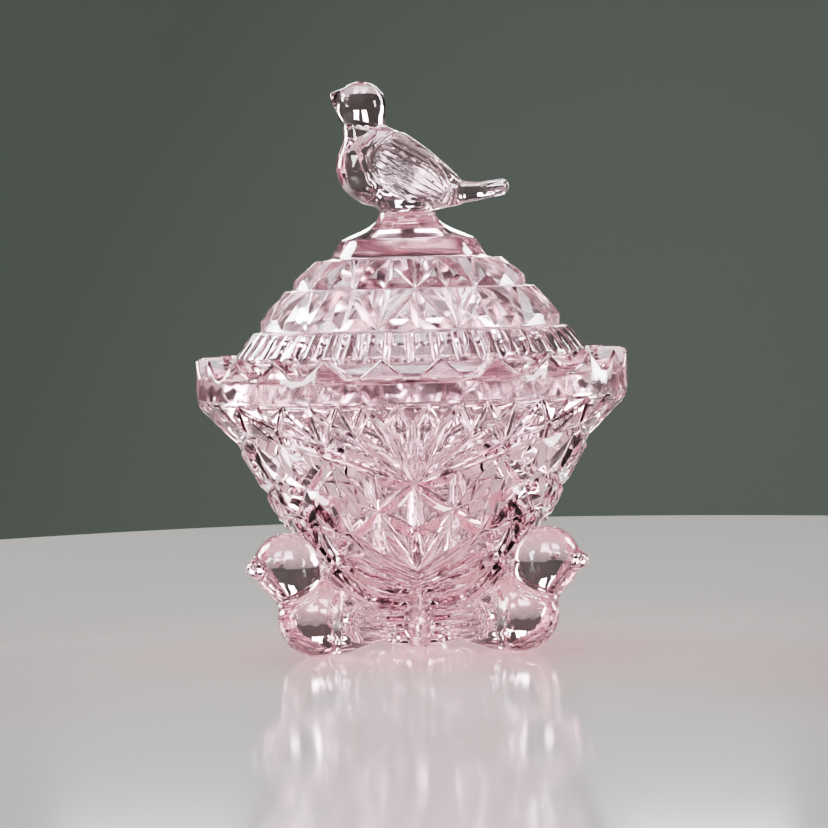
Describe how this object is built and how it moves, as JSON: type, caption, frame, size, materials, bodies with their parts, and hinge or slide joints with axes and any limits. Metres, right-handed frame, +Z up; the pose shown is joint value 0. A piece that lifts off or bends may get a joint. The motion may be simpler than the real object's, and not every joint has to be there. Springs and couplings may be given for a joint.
{
  "type": "covered candy dish",
  "caption": "Pressed glass candy dish: a flared star-cut bowl with a toothed rim on bird feet, and a stepped dome lid with a bird finial that lifts off.",
  "frame": {"origin": "on the table under the bowl's axis", "axes": "+Z up along the bowl's axis, the front with two of the three bird feet towards -Y, the lid's bird looking along -X"},
  "size_m": [0.115, 0.115, 0.1516],
  "materials": {
    "rose_glass": "fire-polished pressed glass, clear, pale rose pink"
  },
  "bodies": {
    "dish": {"dish": "rose_glass"},
    "lid": {"lid": "rose_glass"}
  },
  "joints": [
    {"name": "lid_lift", "type": "slide", "parent": "dish", "child": "lid", "axis": [0, 0, 1], "range_m": [0, 0.08]}
  ]
}
